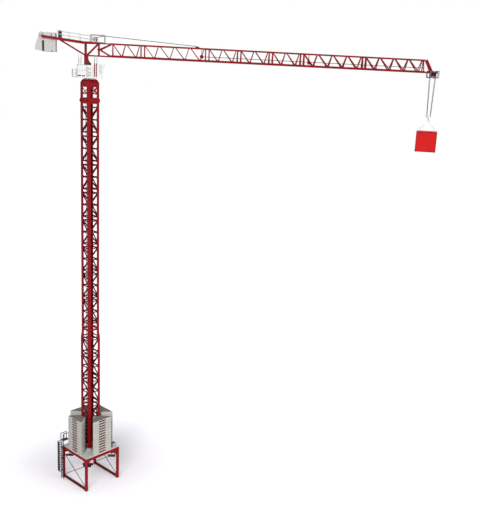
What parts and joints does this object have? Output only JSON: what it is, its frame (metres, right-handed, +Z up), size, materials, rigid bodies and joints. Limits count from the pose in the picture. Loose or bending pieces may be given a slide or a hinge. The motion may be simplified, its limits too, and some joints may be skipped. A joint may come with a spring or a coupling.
{
  "type": "scale-model tower crane",
  "caption": "Scale model of a flat-top tower crane: lattice mast on a portal base with ballast stacks, slewing jib with trolley, hook block and a hanging load box, counter-jib, cab and winch",
  "frame": {"origin": "on the tower axis at floor level, in the plane of the portal's feet", "axes": "+Z up along the mast, X and Y along the portal's sides; at rest the jib points 42.5 degrees from +X towards -Y"},
  "size_m": [0.9794, 0.9028, 1.5112],
  "materials": {
    "red_enamel": "red enamel sprayed on die-cast and etched metal",
    "ballast_grey": "pale grey matt enamel on cast blocks",
    "pale_grey_enamel": "pale grey satin enamel",
    "white_enamel": "white satin enamel",
    "dark_steel": "dark grey enamel",
    "grey_etched_metal": "grey enamel on etched sheet",
    "trolley_steel": "grey enamel on cast and etched pieces",
    "rope": "twisted grey thread pulled taut",
    "red_plastic": "moulded red plastic, satin",
    "clear_pane": "clear moulded pane"
  },
  "bodies": {
    "base": {"foot_pads": "pale_grey_enamel", "portal_legs": "red_enamel", "portal_sills": "red_enamel", "portal_braces": "red_enamel", "portal_beams": "red_enamel", "cross_arms": "red_enamel", "corner_clamps": "dark_steel", "deck_plate": "pale_grey_enamel", "deck_case": "dark_steel", "ballast_front": "ballast_grey", "ballast_right": "ballast_grey", "ballast_back": "ballast_grey", "ballast_left": "ballast_grey", "access_ladder": "grey_etched_metal", "ladder_cage": "grey_etched_metal", "mast_legs": "red_enamel", "mast_side_front": "red_enamel", "mast_side_right": "red_enamel", "mast_side_back": "red_enamel", "mast_side_left": "red_enamel", "mast_transition": "red_enamel", "mast_head": "red_enamel", "mast_ladder": "grey_etched_metal", "slewing_ring": "pale_grey_enamel"},
    "upper_works": {"slewing_platform": "pale_grey_enamel", "tower_head": "red_enamel", "switch_cabinet": "white_enamel", "cab_body": "white_enamel", "cab_glass": "clear_pane", "side_platform": "pale_grey_enamel", "step_panel": "white_enamel", "ladder_frame": "red_enamel", "head_ladders": "grey_etched_metal", "counter_jib_frame": "red_enamel", "counter_jib_deck": "grey_etched_metal", "counter_jib_rails": "pale_grey_enamel", "counterweights": "ballast_grey", "control_cabinet": "dark_steel", "winch_frame": "pale_grey_enamel", "winch_drum": "grey_etched_metal", "jib_root": "red_enamel", "jib_top_chord": "red_enamel", "jib_bottom_chords": "red_enamel", "jib_side_near": "red_enamel", "jib_side_far": "red_enamel", "jib_lacing": "red_enamel", "jib_nose": "red_enamel", "rope_pulleys": "red_enamel", "hoist_ropes": "rope"},
    "trolley": {"trolley_frame": "trolley_steel", "trolley_wheels": "trolley_steel"},
    "hook_and_load": {"rope_falls": "rope", "hook_block": "white_enamel", "crane_hook": "trolley_steel", "slings": "white_enamel", "load_box": "red_plastic", "load_lid": "red_plastic"}
  },
  "joints": [
    {"name": "slew", "type": "hinge", "parent": "base", "child": "upper_works", "pos_m": [0, 0, 1.3739], "axis": [0, 0, 1], "continuous": true},
    {"name": "trolley_travel", "type": "slide", "parent": "upper_works", "child": "trolley", "axis": [0.7373, -0.6756, 0], "range_m": [-0.91, 0]},
    {"name": "hoist", "type": "slide", "parent": "trolley", "child": "hook_and_load", "axis": [0, 0, 1], "range_m": [-1.15, 0.1], "deforming": ["rope_falls"]}
  ]
}
